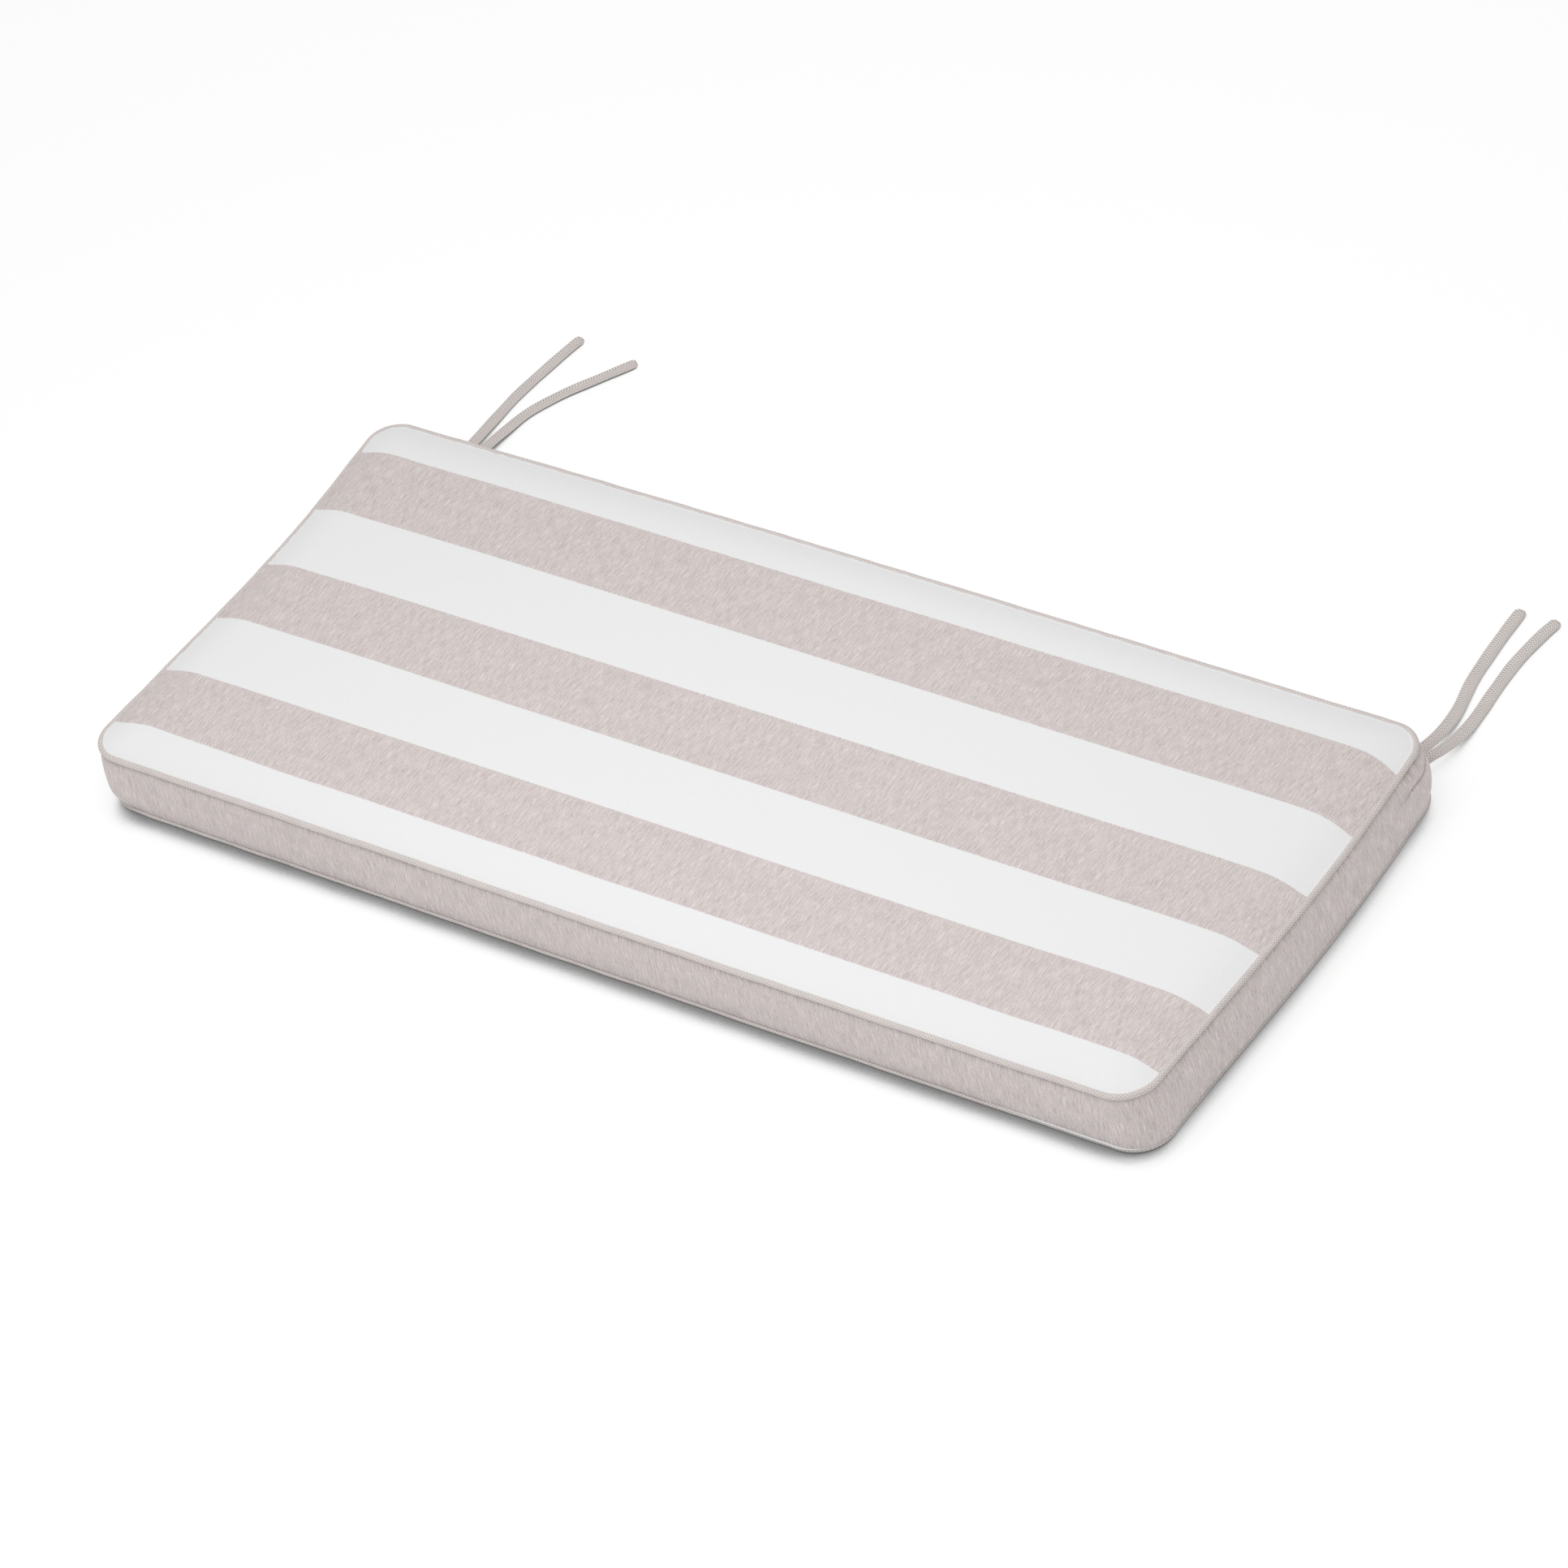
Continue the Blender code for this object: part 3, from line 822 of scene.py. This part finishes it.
FLAP_FACE_ROWS = 18
FLAP_BACK_ROWS = 8
FLAP_TOP = BORDER_HIGH - 0.0002
FLAP_OVER_FOLD = 0.0013
FLAP_LEAST = 0.004
FLAP_OFF_WALL = 0.0001
FLAP_SWELL = 0.0014
FLAP_TURN = 0.72  # from here down the strip turns in to its tucked edge
FLAP_TURN_IN = 0.85
FLAP_UPPER_SHADE_REACH = 0.05  # how far the painted shade under the upper seam reaches down the strip, as a share of its height
# How far the painted shade above the tucked edge reaches up the strip, as a share of its height.
FLAP_LOWER_SHADE_REACH = 0.07


def crown_height(inset):
    inside = max(0, inset - SEAT_RADIUS)
    edge = max(0, 1 - inside / CROWN_REACH)
    middle = max(0, 1 - inside / (DOME_REACH - SEAT_RADIUS))
    return UPPER_SEAM + CROWN * (1 - edge**CROWN_POWER) + DOME * (1 - middle**2)


def make_pad(cloth):
    """The border cloth over its filling: seats for the piping, uneven sides and the crown under the top."""
    levels, maps, seams = [], [], []

    def add(outline, height, row, seam=0.0):
        levels.append(at_height(outline, height))
        row = np.zeros(COUNT) + row
        maps.append(np.stack([TRAVEL, np.append(row, row[0])], axis=1))
        seams.append(seam)

    # The last value of each row is its painted seam shade: full at the foot, the shoulder and the seat
    # under the piping.
    for inset, height in PAD_FOOT:
        add(plan_loop(inset), height, height, 1.0)
    add(moved_out(PAD_FOOT_OUT - FOOT_IN), PAD_FOOT_TOP, PAD_FOOT_TOP, 1.0)
    turns = np.linspace(0, math.pi, PAD_ROWS)
    evenly = (BORDER_LOW + BORDER_HIGH) / 2 - np.cos(turns) * (BORDER_HIGH - BORDER_LOW) / 2
    rows = [z for z in evenly if abs(z - FLAP_FOLD) > FOLD_CLEAR]
    for row in sorted([*rows, *(FLAP_FOLD + np.array(NEAR_FOLD))]):
        height = row + (FOLD - FLAP_FOLD) * smooth_bump(row - FLAP_FOLD, FOLD_BEND)
        # Painted shade under the upper piping, and half as strong over the lower piping.
        seam = np.exp(-(BORDER_HIGH - height) / PAD_UPPER_SHADE_REACH)
        seam = seam + 0.5 * np.exp(-(height - BORDER_LOW) / PAD_LOWER_SHADE_REACH)
        add(moved_out(pad_wall(height)), height, height, seam)
    add(SEAM, BORDER_HIGH + PAD_SHOULDER, BORDER_HIGH, 1.0)
    for inset, height in PAD_SEAT:
        add(plan_loop(inset), height, SIDE_HEIGHT, 1.0)
    for inset in PAD_CROWN_INSETS:
        add(plan_loop(inset), crown_height(inset) - PAD_UNDER_TOP, SIDE_HEIGHT + inset)
    pad = add_piece("pad", stacked_mesh("pad", levels, maps, seams=seams), cloth, "cushion_body")


def top_map(points):
    """The top cloth's own coordinates, in which its stripes are straight."""
    x, y = points[:, 0], points[:, 1]
    rows = np.array(STRIPES[::-1])
    pull = 0
    for end, first, reach, power, middle, width in END_PULLS:
        from_end = abs(end) - x * math.copysign(1, end)
        shift = np.clip(1 - from_end / END_SHIFT_REACH, 0, 1) ** 3
        hook = np.clip(1 - (np.maximum(from_end, 0) / reach) ** power, 0, 1) ** 2
        drift = smooth_bump(from_end - middle, width)
        for k, share in enumerate((shift, hook, drift)):
            pull = pull + share * np.interp(y, rows[:, 0], rows[:, first + k])
    mapped = np.stack([x, y - pull - STRIPE_SLANT * x], axis=1)
    return np.vstack([mapped, mapped[:1]])


def make_top(cloth):
    """The striped cloth over the crown, its underside first, then its face from the seam to the middle."""
    ripple = uneven(0.010, 0.03, 5, 24) * 0.00014
    swell = uneven(0.12, 0.5, 6) * 0.0002
    levels = [at_height(plan_loop(inset), crown_height(inset) - CLOTH) for inset in TOP_UNDERSIDE_INSETS]
    seams = [0.0] * len(levels)
    for inset in TOP_EDGE + (TOP_MIDDLE - TOP_EDGE) * np.linspace(0, 1, TOP_ROWS) ** TOP_SPREAD:
        from_edge = inset - TOP_EDGE
        lift = EDGE_LIFT * math.exp(-((from_edge / EDGE_LIFT_FADE) ** EDGE_LIFT_POWER))
        height = crown_height(inset) + lift
        height = height + ripple * math.exp(-from_edge / RIPPLE_FADE)
        height = height + swell * smooth_bump(inset - SWELL_INSET, SWELL_REACH)
        levels.append(at_height(plan_loop(inset), height))
        # Painted shade next to the upper piping.
        seams.append(math.exp(-from_edge / TOP_SHADE_REACH))
    mesh = stacked_mesh("top", levels, [top_map(level) for level in levels], seams=seams)
    top = add_piece("top", mesh, cloth, "top_panel")


def make_base(cloth):
    """The bottom cloth. Its edge shows as a white lip over the lower piping by the right front corner."""
    lip = smooth_bump(along_from(SIDE_STARTS[1] - 6), LIP_REACH) ** 0.5
    levels = [at_height(plan_loop(inset), height) for inset, height in BASE_RIM]
    for out, height, hidden_rise in BASE_LIP:
        reach = LIP_HIDDEN_OUT + (out - LIP_HIDDEN_OUT) * lip + FOOT_OUT - FOOT_IN
        height = LIP_HIDDEN_HEIGHT + (height - LIP_HIDDEN_HEIGHT) * lip + hidden_rise * (1 - lip)
        levels.append(at_height(moved_out(reach), height))
    levels += [at_height(plan_loop(inset), height) for inset, height in BASE_INNER]
    maps = [np.vstack([level[:, :2], level[:1, :2]]) for level in levels]
    base = add_piece("base", stacked_mesh("base", levels, maps), cloth, "bottom_panel")


def make_piping(name, node, height, cord, out, cloth, seed):
    """A piping cord in its cover, a little uneven round the cushion."""
    levels, maps = [], []
    radius = cord * (1 + CORD_UNEVEN * uneven(0.02, 0.1, seed))
    wander = uneven(0.05, 0.3, seed + 1) * CORD_WANDER
    for k in range(CORD_SIDES + 1):
        turn = 2 * math.pi * k / CORD_SIDES
        outline = moved_out(out + wander + radius * math.cos(turn))
        levels.append(at_height(outline, height + radius * math.sin(turn)))
        maps.append(np.stack([TRAVEL, np.zeros(COUNT + 1) + turn * cord], axis=1))
    mesh = stacked_mesh(name, levels, maps, caps=(False, False))
    add_piece(name, mesh, cloth, node)


def make_flap(cloth):
    """The strip under the upper piping at the rear. Its lower edge is tucked behind the border's ledge."""
    stations = np.arange(FLAP_START, FLAP_END + 1)
    low = np.minimum(FOLD + FLAP_OVER_FOLD, FLAP_TOP - FLAP_LEAST)
    wave = uneven(0.04, 0.13, 8) * 0.0003 + uneven(0.015, 0.04, 9) * 0.00015
    levels, maps, seams = [], [], []

    def row_at(share):
        height = FLAP_TOP + (low - FLAP_TOP) * share
        return height, outer_wall(height) - RECESS * FLAP_SHARE + FLAP_OFF_WALL

    def add(height, out, seam):
        levels.append(at_height(moved_out(out), height)[stations])
        maps.append(np.stack([TRAVEL[stations], height[stations]], axis=1))
        seams.append((np.zeros(COUNT) + seam)[stations])

    for share in np.linspace(0, 1, FLAP_FACE_ROWS):
        height, back = row_at(share)
        swell = FLAP_SWELL * math.sin(math.pi * share**0.9) + wave * math.sin(math.pi * share)
        turned = FLAP_TURN_IN * (max(0, share - FLAP_TURN) / (1 - FLAP_TURN)) ** 2
        face = back + (RECESS * (1 - turned) + swell - 2 * FLAP_OFF_WALL) * FLAP_SHARE
        # Painted shade under the upper seam and, weaker, above the tucked edge; the strip's back gets it in
        # full.
        seam = math.exp(-share / FLAP_UPPER_SHADE_REACH) + 0.35 * math.exp(-(1 - share) / FLAP_LOWER_SHADE_REACH)
        add(height, face, seam)
    for share in np.linspace(1, 0, FLAP_BACK_ROWS):
        add(*row_at(share), 1.0)
    for rows in (levels, maps, seams):
        rows.append(rows[0])
    mesh = stacked_mesh("flap", levels[::-1], maps[::-1], False, (False, False), seams[::-1])
    add_piece("flap", mesh, cloth, "rear_flap")


def smooth_route(rows):
    """Even stops along a smooth curve through the rows, and at each its place, tilt and direction."""
    rows = np.array(rows)
    fine = []
    ends = np.vstack([2 * rows[0] - rows[1], rows, 2 * rows[-1] - rows[-2]])
    for a, b, c, d in zip(ends, ends[1:], ends[2:], ends[3:]):
        for t in np.linspace(0, 1, 12, endpoint=False):
            bend = (2 * a - 5 * b + 4 * c - d) * t**2 + (3 * b - a - 3 * c + d) * t**3
            fine.append(b + 0.5 * ((c - a) * t + bend))
    fine = np.vstack([fine, rows[-1]])
    travel = np.concatenate([[0], np.cumsum(np.linalg.norm(np.diff(fine[:, :3], axis=0), axis=1))])
    fine = np.hstack([fine, np.gradient(fine[:, :3], axis=0)])
    stops = np.linspace(0, travel[-1], round(travel[-1] / TIE_STEP) + 1)
    return stops, np.stack([np.interp(stops, travel, column) for column in fine.T], axis=1)


def rounded(value, power):
    return math.copysign(abs(value) ** power, value)


def strap_width(travel, total, number):
    """Half the strap's width: narrower where it leaves its seam, and rounded at its free end."""
    from_tip = max(0.0, 1 - (total - travel) / TIE_TIP)
    tip = math.sqrt(max(0.0, 1 - from_tip**2)) * (1 - TIE_TIP_WIDTH) + TIE_TIP_WIDTH
    root = TIE_ROOT_WIDTH + (1 - TIE_ROOT_WIDTH) * min(1, travel / TIE_ROOT)
    waver = 1 + TIE_WAVER * math.sin(travel * TIE_WAVER_RATE + number)
    return TIE_WIDTH / 2 * tip * root * waver


def make_tie(name, rows, cloth, number):
    stops, route = smooth_route(rows)
    turns = np.linspace(2 * math.pi, 0, TIE_SIDES + 1)
    section = [(rounded(math.cos(a), TIE_FACE_POWER), rounded(math.sin(a), TIE_EDGE_POWER)) for a in turns]
    levels, maps = [], []
    for travel, (x, y, z, tilt, *run) in zip(stops, route):
        along = Vector(run).normalized()
        level = along.cross(Vector((0, 0, 1))).normalized()
        upright = level.cross(along)
        cos, sin = math.cos(math.radians(tilt)), math.sin(math.radians(tilt))
        across = level * cos - upright * sin
        up = upright * cos + level * sin
        width = strap_width(travel, stops[-1], number)
        ring = [
            Vector((x, y, z)) + across * (u * width) + up * (v * TIE_THICKNESS / 2) for u, v in section[1:]
        ]
        levels.append(np.array(ring))
        maps.append(np.array([(-u * TIE_WIDTH / 2, travel) for u, _ in section]))
    tie = add_piece(name + "_strap", stacked_mesh(name, levels, maps), cloth, name)


def make_floor():
    mesh = bpy.data.meshes.new("floor")
    square = ((-1, -1), (1, -1), (1, 1), (-1, 1))
    points = [(x * FLOOR_HALF, y * FLOOR_HALF, FLOOR_HEIGHT) for x, y in square]
    mesh.from_pydata(points, [], [(0, 1, 2, 3)])
    floor = bpy.data.objects.new("floor", mesh)
    mesh.materials.append(make_floor_paper())
    bpy.context.scene.collection.objects.link(floor)


bpy.context.scene.view_settings.view_transform = "Standard"
make_camera()
tie_cloth = make_tie_cloth()
for number, (tie_name, tie_rows) in enumerate(TIES, start=1):
    make_tie(tie_name, tie_rows, tie_cloth, number)
make_lights()
border_cloth = make_border_cloth()
piping_cloth = make_piping_cloth()
lower_out = LOWER_CORD_OUT + FOOT_OUT - FOOT_IN
make_pad(border_cloth)
make_top(make_striped_cloth())
make_base(make_base_cloth())
make_piping("piping_upper", "piping_top", UPPER_SEAM, UPPER_CORD, 0, piping_cloth, seed=11)
make_piping("piping_lower", "piping_bottom", LOWER_CORD, LOWER_CORD, lower_out, piping_cloth, seed=13)
make_flap(border_cloth)
make_floor()
